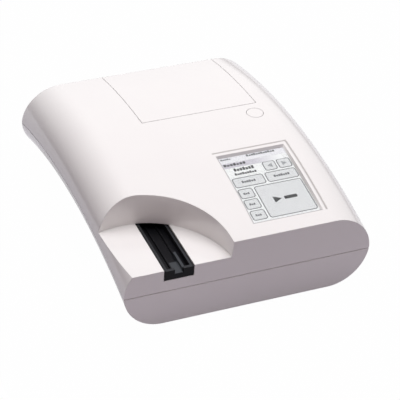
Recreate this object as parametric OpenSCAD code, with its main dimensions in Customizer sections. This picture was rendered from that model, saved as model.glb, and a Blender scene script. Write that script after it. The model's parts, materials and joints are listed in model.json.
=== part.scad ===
// Benchtop strip reader: an arched two-part case with a strip drawer, a touch display and a printer.
// Millimetres. +Z is up, the front faces -Y and the origin lies under the middle of the base.

/* [Body] */
// Width across the rounded sides
body_w = 150; // [146:1:170]
// Depth along the base
body_d = 183; // [178:1:195]
// Radius of the arched parting line
arch_r = 338; // [325:1:360]
// Thickness above the parting line
upper_t = 23.6; // [23:0.1:25]
// Thickness below the parting line
lower_t = 22; // [21.5:0.1:23.5]
// Radius of the rounded long sides
side_r = 24; // [23.6:0.1:26]
// Wall of both covers
wall = 2.5; // [2:0.1:3]
// Lean of the rear face from upright, in degrees
rear_lean = 7; // [3:0.5:8]
// Height of the base edges above the table
foot_gap = 1.5; // [1:0.1:3]
// Width and depth of the line between the covers
parting_line = 0.45; // [0.3:0.05:1]

/* [Strip tray] */
// Height of the shelf that the tray is let into
shelf_z = 38.6; // [37.5:0.1:40]
// Middle of the scoop, measured from the middle of the body
scoop_x = -60; // [-64:0.5:-58]
// Distance from the front face forward to the middle of the scoop
scoop_ahead = 2.7; // [0:0.1:5]
// Radius of the scoop at the shelf
scoop_r = 48.3; // [46:0.1:50]
// Draft of the scoop's wall, in degrees
scoop_draft = 3; // [1:0.5:4]
// Middle of the tray, measured from the middle of the body
tray_x = -43; // [-46:0.1:-42]
// Width of the tray
tray_w = 17.2; // [16:0.1:19]
// Height of the tray
tray_h = 6.1; // [5.6:0.1:6.5]
// Length of the tray
tray_l = 135; // [125:1:140]
// Depth of the tray's rim below the shelf
tray_sink = 0.6; // [0.2:0.1:1.2]
// Running gap round the tray
tray_gap = 0.4; // [0.2:0.05:0.4]
// Width of the tray's rims
rim_w = 1.8; // [1.6:0.1:2.5]
// Depth of the trough below the rims
trough_depth = 3.4; // [2.8:0.1:3.5]
// Width of the strip channel
strip_w = 5.2; // [5:0.1:6.5]

/* [Tray drive] */
// Tooth module of the rack and pinion
rack_module = 0.6; // [0.5:0.05:0.65]
// Teeth on the pinion
pinion_teeth = 16; // [14:1:18]
// Distance from the front face back to the pinion
pinion_back = 58; // [56.5:0.5:61]
// Diameter of the tray motor
tray_motor_d = 20; // [16:0.5:20.5]
// Length of the tray motor
tray_motor_l = 16; // [12:0.5:18]
// Radius of the motor shafts
shaft_r = 1; // [0.8:0.05:1.2]

/* [Display] */
// Middle of the window, as a share of the way from the middle to where the side rounds off
window_share = 0.502; // [0.472:0.002:0.528]
// Distance from the front edge back to the middle of the window, along the top
window_back = 37.5; // [36.5:0.1:39.5]
// Width of the window
window_w = 42.8; // [40:0.1:44]
// Length of the window
window_l = 56; // [50:0.1:57]
// Border of the touch panel hidden by the cover
panel_border = 2; // [1.5:0.1:3.5]
// Depth of the touch panel below the crown of the window
panel_sink = 2; // [1.9:0.1:3]
// Thickness of the touch panel
panel_t = 0.7; // [0.5:0.1:1.8]
// Thickness of the gasket between touch panel and LCD
gasket_t = 0.3; // [0.2:0.1:1]
// Thickness of the LCD
lcd_t = 2.6; // [2:0.1:3.5]
// Width of the L-shaped line round the window
line_w = 1; // [0.4:0.1:1.2]
// Depth of the L-shaped line
line_depth = 0.3; // [0.2:0.05:0.8]

/* [Lid] */
// Left edge of the lid
lid_x0 = -24.2; // [-26:0.1:-23]
// Width of the lid
lid_w = 73.2; // [72:0.1:75]
// Length of the lid from its front edge to the hinge axis
lid_l = 62.1; // [60.5:0.1:63]
// Thickness of the lid
lid_t = 2.5; // [2:0.1:2.8]
// Gap round the lid
lid_gap = 0.25; // [0.2:0.05:0.6]
// Depth of the hinge axis below the top
hinge_depth = 4.5; // [4:0.1:5]
// Distance from the top rear edge to the hinge axis, along the top
hinge_back = 6; // [5.6:0.1:6.5]
// Radius of the hinge pin
hinge_pin_r = 1.5; // [1.2:0.05:1.8]

/* [Button] */
// Middle of the button across the body
button_x = 43.9; // [42:0.1:45]
// Distance from the lid's front edge forward to the middle of the button
button_ahead = 10.4; // [9.4:0.1:12.4]
// Radius of the button
button_r = 5; // [4:0.1:5.5]
// Gap round the button
button_gap = 0.2; // [0.15:0.05:0.5]
// Travel of the button
button_travel = 1; // [0.5:0.1:1.2]

/* [Printer] */
// Width of the paper
paper_w = 57; // [50:0.5:58]
// Radius of the full paper roll
roll_r = 14; // [12:0.1:14.5]
// Radius of the spindle that carries the roll
spindle_r = 3; // [2.5:0.1:3.5]
// Radius of the platen roller
platen_r = 4; // [3.6:0.1:4.2]
// Distance from the lid's front edge back to the platen
platen_back = 7.5; // [7:0.1:8.5]
// Tooth module of the printer gears
gear_module = 0.5; // [0.45:0.01:0.5]
// Teeth on the platen gear
platen_teeth = 20; // [18:1:20]
// Teeth on the idler gear
idler_teeth = 30; // [28:1:30]
// Teeth on the printer motor's pinion
printer_pinion_teeth = 12; // [12:1:13]
// Diameter of the printer motor
printer_motor_d = 10; // [8:0.5:10]

/* [Electronics] */
// Thickness of the circuit boards
board_t = 1.6; // [1:0.1:2]
// Width of the main board
main_board_w = 60; // [50:1:62]
// Length of the main board
main_board_l = 78; // [60:1:80]
// Width of the rear board
rear_board_w = 64; // [62:1:66]
// Length of the rear board
rear_board_l = 20; // [18:0.5:21]

/* [Feet and screws] */
// Radius of the rubber feet
foot_r = 6; // [4:0.1:6.5]
// Height of the rubber feet
foot_h = 3; // [2:0.1:4]
// Radius of the case screws
case_screw_r = 1.5; // [1.2:0.05:1.6]
// Length of the case screws under the head
case_screw_l = 14; // [12:0.5:15]
// Radius of the small screws
small_screw_r = 1.1; // [0.9:0.05:1.25]

/* [Hidden] */
$fn = 64;
shell_white = "#f3f1ef";
tray_black = "#1b1c1f";
steel = "#b4b7bb";
dark_plastic = "#3a3c40";
board_green = "#1f6b45";
gear_white = "#e6e2d6";

// Arch: both covers are sections swept about one axis that runs along X
top_r = arch_r + upper_t;
base_r = arch_r - lower_t;
floor_r = base_r + wall;
front_y = -body_d / 2;
rear_y = body_d / 2;
axis_z = foot_gap - sqrt(base_r * base_r - front_y * front_y);
crown_z = axis_z + top_r;
side_x = body_w / 2 - side_r;
sweep_a = asin((rear_y + wall) / base_r);
cover_gap = 0.1;
cut = 1;
far = 2 * body_w;

// Height of the arch of radius r at depth y
function arch_z(r, y) = axis_z + sqrt(r * r - y * y);
// Angle of a place on the top, from its distance along the top
function arch_a(s) = s / top_r * 180 / PI;
// Depth of the rear face at height z
function rear_face(z) = rear_y - (z - foot_gap) * tan(rear_lean);

// Scoop and tray
scoop_y = front_y - scoop_ahead;
slot_w = tray_w + 2 * tray_gap;
tray_top = shelf_z - tray_sink;
tray_z = tray_top - tray_h;
tray_rear = front_y + tray_l;
slot_z = tray_z - tray_gap;
slot_top = shelf_z + 0.1;
slot_floor_t = 2;
slot_wall_t = 2;
slot_end = scoop_y + scoop_r + 2 * wall;
trough_z = tray_top - trough_depth;
guide_gap = 0.8;
guide_room = 2.5;
guide_over = 1.2;
guide_y0 = slot_end + guide_gap;
guide_y1 = tray_rear + guide_room;
guide_top = tray_top + guide_over;
guide_w = slot_w + 2 * slot_wall_t;
guide_under = slot_z - slot_floor_t;
guide_ear = 6;
guide_ear_front = 30.5;
guide_ear_rear = 9.5;
guide_screw_y = [guide_y0 + guide_ear_front, guide_y1 - guide_ear_rear];

// Rack and pinion: a tooth of the rack stands over the pinion's axis at rest
tooth_tip = 0.85;
tooth_root = 1.15;
tooth_half = 0.6;
tooth_slope = 0.36;
rack_w = 4;
rack_x = tray_x + tray_w / 2 - rim_w - rack_w / 2;
rack_back_t = 0.65;
rack_tip_z = tray_z + 0.2;
rack_pitch = PI * rack_module;
rack_pitch_z = rack_tip_z + tooth_tip * rack_module;
rack_top_z = rack_pitch_z + tooth_root * rack_module + rack_back_t;
rack_front = 10;
rack_rear = 2;
rack_y0 = front_y + rack_front;
rack_y1 = tray_rear - rack_rear;
pinion_r = pinion_teeth * rack_module / 2;
pinion_y = front_y + pinion_back;
pinion_z = rack_pitch_z - pinion_r;
pinion_slot = 0.8;
tray_motor_gap = 2.4;
tray_motor_x = tray_x + guide_w / 2 + tray_motor_gap;
bracket_t = 1.5;
bearing_gap = 0.05;
shaft_share = 0.6;
bore_share = 0.7;
bracket_up = 0.2;
bracket_z = arch_z(floor_r, 0) + bracket_up;
bracket_foot = 12;
bracket_screw_x = 7.2;
bracket_screw_y = 6;

// Display, in a frame that lies flat under the middle of the window
front_s = top_r * asin(front_y / top_r) * PI / 180;
window_x = window_share * side_x;
window_s = front_s + window_back;
panel_w = window_w + 2 * panel_border;
panel_l = window_l + 2 * panel_border;
panel_gap = 0.3;
panel_top = -panel_sink;
gasket_top = panel_top - panel_t;
lcd_top = gasket_top - gasket_t;
lcd_under = lcd_top - lcd_t;
bracket_plate_t = 1.2;
display_boss_r = 2.2;
display_boss_gap = 0.6;
display_boss_in = 4;
display_boss_x = panel_w / 2 + display_boss_r + display_boss_gap;
display_boss_y = panel_l / 2 - display_boss_in;
cable_w = 16;
cable_t = 0.5;
cable_room = 3;
line_behind = 2.8;
line_left = 1.2;
line_right = 2.5;
line_s = window_s + window_l / 2 + line_behind;
line_x0 = window_x - window_w / 2 - line_left;
line_x = window_x + window_w / 2 + line_right;
line_step = 0.05;

// Lid and hinge
lid_x1 = lid_x0 + lid_w;
lid_xm = lid_x0 + lid_w / 2;
top_edge_y = rear_face(arch_z(top_r, rear_y - hinge_back));
hinge_r = top_r - hinge_depth;
hinge_y = top_edge_y - hinge_back;
hinge_z = arch_z(hinge_r, hinge_y);
lid_y = hinge_y - lid_l;
button_y = lid_y - button_ahead;
knuckle_r = norm([hinge_back, hinge_depth]) + 0.2;
hinge_boss_l = 6;
hinge_boss_r = 4.4;
hinge_bore_x0 = lid_x0 - lid_gap - hinge_boss_l + 1;
hinge_bore_x1 = lid_x1 + lid_gap + hinge_boss_l - 1;
hinge_pin_slack = 0.2;
press_gap = 0.02;

// Printer: the platen hangs on the lid, over the print head
platen_y = lid_y + platen_back;
platen_tip_r = max(platen_r, gear_module * (platen_teeth / 2 + tooth_tip));
platen_z = arch_z(top_r - lid_t - platen_tip_r - lid_gap, platen_y);
platen_shaft_r = 1.5;
bushing_r = 2.8;
arm_t = 2;
arm_rim = 1.2;
frame_t = 1.5;
frame_side = 1;
arm_gap = 0.6;
gear_gap = 0.4;
frame_in = paper_w / 2 + frame_side;
arm_in = frame_in + frame_t + arm_gap;
arm_places = [lid_xm - arm_in - arm_t, lid_xm + arm_in];
gear_in = arm_in + arm_t + gear_gap;
gear_w = 1.8;
pin_end = 0.6;
platen_gear_r = platen_teeth * gear_module / 2;
idler_r = idler_teeth * gear_module / 2;
printer_pinion_r = printer_pinion_teeth * gear_module / 2;
idler_z = platen_z - platen_gear_r - idler_r;
idler_pitch_a = 360 / idler_teeth;
printer_motor_a = 90 + 11 * idler_pitch_a;
printer_motor_y = platen_y + (idler_r + printer_pinion_r) * cos(printer_motor_a);
printer_motor_z = idler_z + (idler_r + printer_pinion_r) * sin(printer_motor_a);
printer_motor_l = 14;
shaft_room = 0.8;
head_gap = 0.2;
head_t = 3;
head_l = 12;
head_z = platen_z - platen_r - head_gap - head_t;
head_lug = 2;
head_lug_x = paper_w * 0.4;
head_pin_r = 1;
head_pin_back = 4;
head_pin_down = 1.5;
head_pin_y = platen_y + head_pin_back;
head_pin_z = head_z - head_pin_down;
leaf_t = 0.4;
leaf_tip = 1.5;
leaf_inset = 4;

// Paper well, which carries the printer frame as well
well_t = 2;
well_up = 4;
well_side = 1.5;
well_ahead = 6;
well_behind = 9;
well_z = arch_z(floor_r, 0) + well_up;
well_floor = well_z + well_t;
well_in = paper_w / 2 + well_side;
well_y0 = lid_y - well_ahead;
well_mid = platen_y + well_behind;
roll_gap = 1.2;
roll_y = well_mid + well_t + roll_gap + roll_r;
roll_z = well_floor + roll_gap + roll_r;
well_y1 = roll_y + roll_r + roll_gap + well_t;
core_r = 6;
well_wall_top = roll_z + spindle_r + well_t;
spindle_gap = 0.06;
well_ear = 6;
well_ear_front = 5;
well_screw_y = [well_y0 + well_ear_front, roll_y];
frame_inset = 1;
frame_drop = 2.2;
frame_y0 = well_y0 + frame_inset;
frame_y1 = well_mid - frame_inset / 2;
frame_top = platen_z - frame_drop;

// Boards
main_board_x = -6;
main_board_y = (front_y + wall + well_y0 - main_board_l) / 2;
main_board_up = 3.5;
main_board_z = arch_z(floor_r, 0) + main_board_up;
main_board_top = main_board_z + board_t;
board_hole = 3.5;
rear_board_x = -40;
rear_board_back = 7;
rear_board_up = 1.2;
rear_board_y = rear_y - rear_board_back - rear_board_l;
rear_board_z = arch_z(floor_r, rear_board_y) + rear_board_up;
rear_board_top = rear_board_z + board_t;
socket_sink = 3.5;
socket_room = 6;
socket_rear = rear_y - socket_sink;
socket_gap = 0.3;
dc_w = 9;
dc_h = 9.5;
dc_in = 10;
dc_x = rear_board_x + dc_in;
usb_device_w = 8;
usb_device_h = 4;
usb_device_in = 28;
usb_device_x = rear_board_x + usb_device_in;
usb_host_w = 13;
usb_host_h = 5.8;
usb_host_in = 47;
usb_host_x = rear_board_x + usb_host_in;
socket_front = rear_board_y + socket_room;
socket_shell = 0.5;
socket_depth = 8;
tongue_back = 1;
tongue_side = 0.9;
tongue_up = 0.4;
tongue_thin = 0.2;
dc_mouth_r = 3;
dc_pin_r = 1;
header_h = 2.6;
header_w = 18;
header_l = 4;

// Fasteners
case_boss_r = 4.2;
case_boss_out = 11;
case_boss_behind = 14;
case_boss_ahead = 17;
case_boss_x = side_x + case_boss_out;
case_boss_front = front_y + case_boss_behind;
case_boss_rear = rear_y - case_boss_ahead;
case_head_r = 2.8;
case_head_h = 2.4;
case_head_gap = 0.3;
case_screw_bite = 5.5;
small_boss_r = 3;
small_head_r = 2;
small_head_h = 1.4;
small_hole_r = small_screw_r + 0.2;
guide_screw_l = 6;
floor_skin = 1;
pilot_gap = 0.05;
pilot_tip = 0.8;
foot_in = 4;
foot_end = 9;
foot_x = side_x - foot_in;
foot_y = rear_y - foot_end;
foot_boss_r = foot_r + 1.6;
foot_boss_z = 1.2;
foot_side_gap = 0.15;

// Box between two corners
module span(a, b) {
    translate(a)
        cube(b - a);
}

// Rod along X from x0 to x1
module rod_x(r, x0, x1, y, z) {
    translate([x0, y, z])
        rotate([0, 90, 0])
            cylinder(r = r, h = x1 - x0);
}

// Prism along X from an outline of [y, z] points
module prism_x(x0, x1, outline) {
    translate([x0, 0, 0])
        rotate([90, 0, 90])
            linear_extrude(x1 - x0)
                polygon(outline);
}

// Places a child on the top: x across, s along it from the crown, the child's z pointing out
module on_top(x, s) {
    translate([x, 0, axis_z])
        rotate([-arch_a(s), 0, 0])
            translate([0, 0, top_r])
                children();
}

// Sweeps a section of [radius, x] about the arch's axis
module arch_sweep() {
    translate([0, 0, axis_z])
        rotate([0, 90, 0])
            rotate_extrude(angle = 2 * sweep_a, start = 180 - sweep_a, $fn = 360)
                children();
}

// Room between the front face and the leaning rear face, drawn in by inset
module between_ends(inset) {
    rear_inset = inset / cos(rear_lean);
    low = foot_gap - 2 * wall;
    high = crown_z + 2 * wall;
    prism_x(-body_w, body_w, [
        [front_y + inset, low],
        [rear_face(low) - rear_inset, low],
        [rear_face(high) - rear_inset, high],
        [front_y + inset, high]
    ]);
}

// Body above the parting line, drawn in by inset and reaching below that line
module upper_body(inset, below = 0) {
    intersection() {
        arch_sweep()
            intersection() {
                union() {
                    translate([arch_r - side_r, -side_x])
                        square([upper_t + side_r - inset, 2 * side_x]);
                    for (side = [-1, 1])
                        translate([top_r - side_r, side * side_x])
                            circle(r = side_r - inset, $fn = 128);
                }
                translate([arch_r - below, -body_w])
                    square([upper_t + below + cut, 2 * body_w]);
            }
        between_ends(inset);
    }
}

// Body below the parting line, drawn in by inset and reaching above that line
module lower_body(inset, above = 0) {
    intersection() {
        arch_sweep()
            intersection() {
                union() {
                    translate([base_r + inset, -side_x])
                        square([lower_t + side_r, 2 * side_x]);
                    for (side = [-1, 1])
                        translate([base_r + side_r, side * side_x])
                            circle(r = side_r - inset, $fn = 128);
                }
                translate([base_r - cut, -body_w])
                    square([lower_t + above + cut, 2 * body_w]);
            }
        between_ends(inset);
    }
}

// Scoop over the shelf, grown by grow for the wall behind it
module scoop(grow) {
    depth = crown_z - shelf_z + grow + cut;
    translate([scoop_x, scoop_y, shelf_z - grow])
        cylinder(r1 = scoop_r + grow, r2 = scoop_r + grow + depth * tan(scoop_draft), h = depth, $fn = 180);
}

// Screw along Z: head on top, tip down, with the head's seat at z = 0
module screw(r, l, head_r, head_h) {
    translate([0, 0, -l])
        cylinder(r = r, h = l);
    difference() {
        cylinder(r = head_r, h = head_h);
        translate([0, 0, head_h / 2])
            cylinder(r = r * 0.9, h = head_h, $fn = 6);
    }
}

// Screw that holds a plate of thickness t down and reaches l below it
module small_screw(t, l) {
    translate([0, 0, t])
        screw(small_screw_r, t + l, small_head_r, small_head_h);
}

// Blind pilot hole of depth l from z = 0 down
module small_pilot(l) {
    translate([0, 0, -l])
        cylinder(r = small_screw_r + pilot_gap, h = l + cut);
}

// Column of the bottom cover from its floor up to height z
module floor_boss(x, y, z, r) {
    intersection() {
        translate([x, y, 0])
            cylinder(r = r, h = z);
        lower_body(wall / 2, crown_z - axis_z - arch_r);
    }
}

// Reach of a screw below height z that leaves the skin of the bottom cover whole
function floor_screw_l(y, z) = z - arch_z(base_r, y) - floor_skin;

// Outline of a spur gear that has a gap at angle 0
function gear_outline(teeth, size) = [
    for (i = [0 : teeth - 1], k = [-1.5 : 1 : 1.5])
        let (
            tip = abs(k) < 1,
            r = size * (teeth / 2 + (tip ? tooth_tip : -tooth_root)),
            half = size * (tooth_half + tooth_slope * (tip ? -tooth_tip : tooth_root)),
            a = (i + 0.5) * 360 / teeth + sign(k) * half / r * 180 / PI
        )
        [r * cos(a), r * sin(a)]
];

// Gear on an axis along X, with a gap facing angle a from +Y towards +Z
module gear_x(teeth, size, w, bore, x, y, z, a) {
    translate([x, y, z])
        rotate([90, 0, 90])
            difference() {
                rotate([0, 0, a])
                    linear_extrude(w)
                        polygon(gear_outline(teeth, size));
                translate([0, 0, -cut])
                    cylinder(r = bore, h = w + 2 * cut);
            }
}

case_boss_places = [for (x = [-1, 1], y = [case_boss_front, case_boss_rear]) [x * case_boss_x, y]];
foot_places = [for (x = [-1, 1], y = [-1, 1]) [x * foot_x, y * foot_y]];
guide_screw_places = [
    for (side = [-1, 1], y = guide_screw_y) [tray_x + side * (guide_w + guide_ear) / 2, y]
];
well_screw_places = [
    for (side = [-1, 1], y = well_screw_y) [lid_xm + side * (well_in + well_t + well_ear / 2), y]
];
main_screw_places = [
    for (x = [board_hole, main_board_w - board_hole], y = [board_hole, main_board_l - board_hole])
        [main_board_x + x, main_board_y + y]
];
rear_screw_places = [
    for (x = [board_hole, rear_board_w - board_hole]) [rear_board_x + x, rear_board_y + board_hole]
];
bracket_screw_places = [
    for (side = [-1, 1]) [tray_motor_x - bracket_screw_x, pinion_y + side * bracket_screw_y]
];
display_screw_places = [for (x = [-1, 1], y = [-1, 1]) [x * display_boss_x, y * display_boss_y]];

module top_cover() {
    color(shell_white)
        difference() {
            union() {
                difference() {
                    upper_body(0);
                    difference() {
                        upper_body(wall, cut);
                        scoop(wall);
                    }
                }
                // Channel for the tray under the shelf
                span(
                    [tray_x - guide_w / 2, front_y, guide_under],
                    [tray_x + guide_w / 2, slot_end, shelf_z]
                );
                intersection() {
                    upper_body(wall / 2);
                    union() {
                        for (p = case_boss_places)
                            translate([p.x, p.y, 0])
                                cylinder(r = case_boss_r, h = crown_z);
                        for (x = [lid_x0 - lid_gap - hinge_boss_l, lid_x1 + lid_gap])
                            rod_x(hinge_boss_r, x, x + hinge_boss_l, hinge_y, hinge_z);
                        on_top(window_x, window_s)
                            for (p = display_screw_places)
                                translate([p.x, p.y, lcd_under])
                                    cylinder(r = display_boss_r, h = -lcd_under);
                    }
                }
                button_board_posts();
            }
            scoop(0);
            // Tray slot
            span(
                [tray_x - slot_w / 2, front_y - cut, slot_z],
                [tray_x + slot_w / 2, slot_end + cut, slot_top]
            );
            lid_opening();
            rod_x(hinge_pin_r + press_gap, hinge_bore_x0, hinge_bore_x1, hinge_y, hinge_z);
            // Button hole
            translate([button_x, button_y, crown_z - 2 * wall])
                cylinder(r = button_r + button_gap, h = 3 * wall);
            // Display window, panel seat and screw holes
            on_top(window_x, window_s) {
                translate([-window_w / 2, -window_l / 2, -2 * wall])
                    cube([window_w, window_l, 3 * wall]);
                translate([-panel_w / 2 - panel_gap, -panel_l / 2 - panel_gap, lcd_under])
                    cube([panel_w + 2 * panel_gap, panel_l + 2 * panel_gap, -panel_sink - lcd_under]);
                for (p = display_screw_places)
                    translate([p.x, p.y, lcd_under - cut])
                        cylinder(r = small_screw_r + pilot_gap, h = -lcd_under - wall / 2);
            }
            line_groove();
            for (p = case_boss_places)
                translate([p.x, p.y, 0])
                    cylinder(r = case_screw_r + pilot_gap, h = case_seat(p.y) + case_screw_l + pilot_tip);
        }
}

// Hole in the top cover that the lid fills
module lid_opening() {
    x0 = lid_x0 - lid_gap;
    x1 = lid_x1 + lid_gap;
    span([x0, lid_y - lid_gap, hinge_z], [x1, rear_y, crown_z + cut]);
    rod_x(knuckle_r + lid_gap, x0, x1, hinge_y, hinge_z);
}

// L-shaped line behind and beside the window; a small step keeps its arms from sharing a face
module line_groove() {
    on_top(line_x0, line_s)
        translate([0, -line_w / 2, -line_depth])
            cube([line_x + line_w / 2 - line_step - line_x0, line_w, wall]);
    intersection() {
        arch_sweep()
            translate([top_r - line_depth, line_x - line_w / 2])
                square([wall, line_w]);
        span(
            [line_x - line_w, top_r * sin(arch_a(window_s - window_l / 2)), shelf_z],
            [line_x + line_w, top_r * sin(arch_a(line_s)), crown_z + cut]
        );
    }
}

module bottom_cover() {
    rabbet_r = arch_r - cover_gap - parting_line;
    color(shell_white)
        difference() {
            union() {
                difference() {
                    lower_body(0, -cover_gap);
                    lower_body(wall, cut);
                }
                for (p = case_boss_places)
                    intersection() {
                        translate([p.x, p.y, 0])
                            cylinder(r = case_boss_r, h = crown_z);
                        lower_body(wall / 2, -2 * cover_gap);
                    }
                for (p = guide_screw_places)
                    floor_boss(p.x, p.y, guide_under, small_boss_r);
                for (p = well_screw_places)
                    floor_boss(p.x, p.y, well_z, small_boss_r);
                for (p = main_screw_places)
                    floor_boss(p.x, p.y, main_board_z, small_boss_r);
                for (p = rear_screw_places)
                    floor_boss(p.x, p.y, rear_board_z, small_boss_r);
                for (p = bracket_screw_places)
                    floor_boss(p.x, p.y, bracket_z, small_boss_r);
                for (p = foot_places)
                    translate([p.x, p.y, foot_boss_z])
                        cylinder(r = foot_boss_r, h = arch_z(base_r, p.y) + wall - foot_boss_z);
            }
            // Line between the covers
            difference() {
                arch_sweep()
                    translate([rabbet_r, -body_w])
                        square([2 * parting_line, 2 * body_w]);
                lower_body(parting_line, upper_t);
            }
            for (p = case_boss_places) {
                translate([p.x, p.y, 0])
                    cylinder(r = case_screw_r + pilot_gap, h = crown_z);
                translate([p.x, p.y, 0])
                    cylinder(r = case_head_r + case_head_gap, h = case_seat(p.y));
            }
            for (p = foot_places)
                translate([p.x, p.y, 0])
                    cylinder(r = foot_r + foot_side_gap, h = foot_h);
            for (p = guide_screw_places)
                translate([p.x, p.y, guide_under])
                    small_pilot(guide_screw_l);
            for (p = well_screw_places)
                translate([p.x, p.y, well_z])
                    small_pilot(floor_screw_l(p.y, well_z));
            for (p = main_screw_places)
                translate([p.x, p.y, main_board_z])
                    small_pilot(floor_screw_l(p.y, main_board_z));
            for (p = rear_screw_places)
                translate([p.x, p.y, rear_board_z])
                    small_pilot(floor_screw_l(p.y, rear_board_z));
            for (p = bracket_screw_places)
                translate([p.x, p.y, bracket_z])
                    small_pilot(floor_screw_l(p.y, bracket_z));
            rear_ports();
        }
}

// Height of the seat under a case screw's head
function case_seat(y) = arch_z(arch_r, y) + case_screw_bite - case_screw_l;

// Openings for the sockets in the rear wall
module rear_ports() {
    for (port = [[dc_x, dc_w, dc_h], [usb_device_x, usb_device_w, usb_device_h],
            [usb_host_x, usb_host_w, usb_host_h]])
        span(
            [port[0] - port[1] / 2 - socket_gap, rear_y - 4 * wall, rear_board_top - socket_gap],
            [port[0] + port[1] / 2 + socket_gap, rear_y + cut, rear_board_top + port[2] + socket_gap]
        );
}

module printer_lid() {
    color(shell_white)
        difference() {
            union() {
                difference() {
                    intersection() {
                        upper_body(0);
                        span([lid_x0, lid_y, shelf_z], [lid_x1, hinge_y, crown_z + cut]);
                    }
                    upper_body(lid_t, cut);
                }
                intersection() {
                    upper_body(0);
                    rod_x(knuckle_r, lid_x0, lid_x1, hinge_y, hinge_z);
                }
                // Arms that carry the platen
                intersection() {
                    upper_body(lid_t / 2);
                    for (x = arm_places)
                        span([x, platen_y - bushing_r - arm_rim, platen_z - bushing_r - arm_rim],
                            [x + arm_t, platen_y + bushing_r + arm_rim, crown_z]);
                }
            }
            rod_x(hinge_pin_r + bearing_gap, lid_x0 - cut, lid_x1 + cut, hinge_y, hinge_z);
            rod_x(bushing_r + press_gap, lid_x0 - cut, lid_x1 + cut, platen_y, platen_z);
        }
}

module lid_hinge_pin() {
    color(steel)
        rod_x(hinge_pin_r, hinge_bore_x0 + hinge_pin_slack, hinge_bore_x1 - hinge_pin_slack,
            hinge_y, hinge_z);
}

// Button: flush cap, a flange that keeps it in and a stem that stands on the switch's plunger
button_flange_w = 1.4;
button_flange_r = button_r + button_flange_w;
button_flange_t = 1.2;
button_flange_z = arch_z(top_r - wall, button_y + button_flange_r) - 0.1 - button_flange_t;
button_stem_r = 1.5;
button_stem_l = 2;
button_stem_z = button_flange_z - button_stem_l;
plunger_r = 1.3;
plunger_out = button_travel + 0.2;
plunger_in = 1.6;
switch_w = 6;
switch_h = 4;
button_board_top = button_stem_z - plunger_out - switch_h;
button_board_w = 22;
button_board_l = 9;
button_post_x = 8.5;
button_post_r = 1.6;

module power_button() {
    color(shell_white) {
        intersection() {
            translate([button_x, button_y, button_flange_z])
                cylinder(r = button_r, h = crown_z - button_flange_z);
            upper_body(0);
        }
        translate([button_x, button_y, button_flange_z])
            cylinder(r = button_flange_r, h = button_flange_t);
        translate([button_x, button_y, button_stem_z])
            cylinder(r = button_stem_r, h = button_flange_z - button_stem_z + button_flange_t / 2);
    }
}

// Posts under the top cover that the button's board hangs on
module button_board_posts() {
    for (side = [-1, 1])
        intersection() {
            translate([button_x + side * button_post_x, button_y, button_board_top])
                cylinder(r = button_post_r, h = crown_z - button_board_top);
            upper_body(wall / 2);
        }
}

module button_board() {
    color(board_green)
        translate([button_x, button_y, button_board_top])
            span([-button_board_w / 2, -button_board_l / 2, -board_t],
                [button_board_w / 2, button_board_l / 2, 0]);
}

module button_switch() {
    color(dark_plastic)
        translate([button_x, button_y, button_board_top])
            difference() {
                span([-switch_w / 2, -switch_w / 2, 0], [switch_w / 2, switch_w / 2, switch_h]);
                translate([0, 0, switch_h - plunger_in - plunger_out])
                    cylinder(r = plunger_r + bearing_gap, h = switch_h);
            }
}

module switch_plunger() {
    color("#c8322b")
        translate([button_x, button_y, button_stem_z - plunger_out - plunger_in])
            cylinder(r = plunger_r, h = plunger_out + plunger_in);
}

module touch_panel() {
    color("#d9dcdf")
        on_top(window_x, window_s)
            translate([-panel_w / 2, -panel_l / 2, gasket_top])
                cube([panel_w, panel_l, panel_t]);
}

module display_gasket() {
    color("#26282b")
        on_top(window_x, window_s)
            difference() {
                translate([-panel_w / 2, -panel_l / 2, lcd_top])
                    cube([panel_w, panel_l, gasket_t]);
                translate([-window_w / 2, -window_l / 2, lcd_top - cut])
                    cube([window_w, window_l, gasket_t + 2 * cut]);
            }
}

module lcd_panel() {
    color("#c9cdd2")
        on_top(window_x, window_s)
            translate([-panel_w / 2, -panel_l / 2, lcd_under])
                cube([panel_w, panel_l, lcd_t]);
}

module display_bracket() {
    color(steel)
        on_top(window_x, window_s)
            translate([0, 0, lcd_under - bracket_plate_t])
                difference() {
                    translate([-display_boss_x - display_boss_r, -panel_l / 2, 0])
                        cube([2 * (display_boss_x + display_boss_r), panel_l, bracket_plate_t]);
                    for (p = display_screw_places)
                        translate([p.x, p.y, -cut])
                            cylinder(r = small_hole_r, h = bracket_plate_t + 2 * cut);
                    span([-cable_w / 2 - cable_room, -cable_room, -cut],
                        [cable_w / 2 + cable_room, 2 * cable_room, bracket_plate_t + cut]);
                }
}

module display_screws() {
    color(steel)
        on_top(window_x, window_s)
            for (p = display_screw_places)
                translate([p.x, p.y, lcd_under - bracket_plate_t])
                    mirror([0, 0, 1])
                        screw(small_screw_r, -lcd_under - wall - pilot_tip, small_head_r, small_head_h);
}

// Flat ribbon from the LCD's back straight down to its header on the main board
cable_y = top_r * sin(arch_a(window_s)) + 1;

module display_cable() {
    color("#e3c9a0")
        difference() {
            span([window_x - cable_w / 2, cable_y, main_board_top + header_h],
                [window_x + cable_w / 2, cable_y + cable_t, crown_z]);
            on_top(window_x, window_s)
                translate([-panel_w, -panel_l, lcd_under])
                    cube([2 * panel_w, 2 * panel_l, body_w]);
        }
}

// Insert at the trough's front: a floor for the strip's handle with a tongue in the notch, and a rail
channel_t = 0.6;
channel_l = 8;
rail_w = 1.5;
rail_h = 1.6;
rail_l = 14.5;
channel_gap = 0.15;
tongue_in = 0.3;
channel_y0 = front_y + rim_w + channel_gap;
// Low ridges of the tray line the strip up to the white pad, on the right from behind the rail
ridge_w = 0.7;
ridge_h = 1.1;
pad_back = 105;
pad_l = 8;
pad_proud = 0.4;

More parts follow.
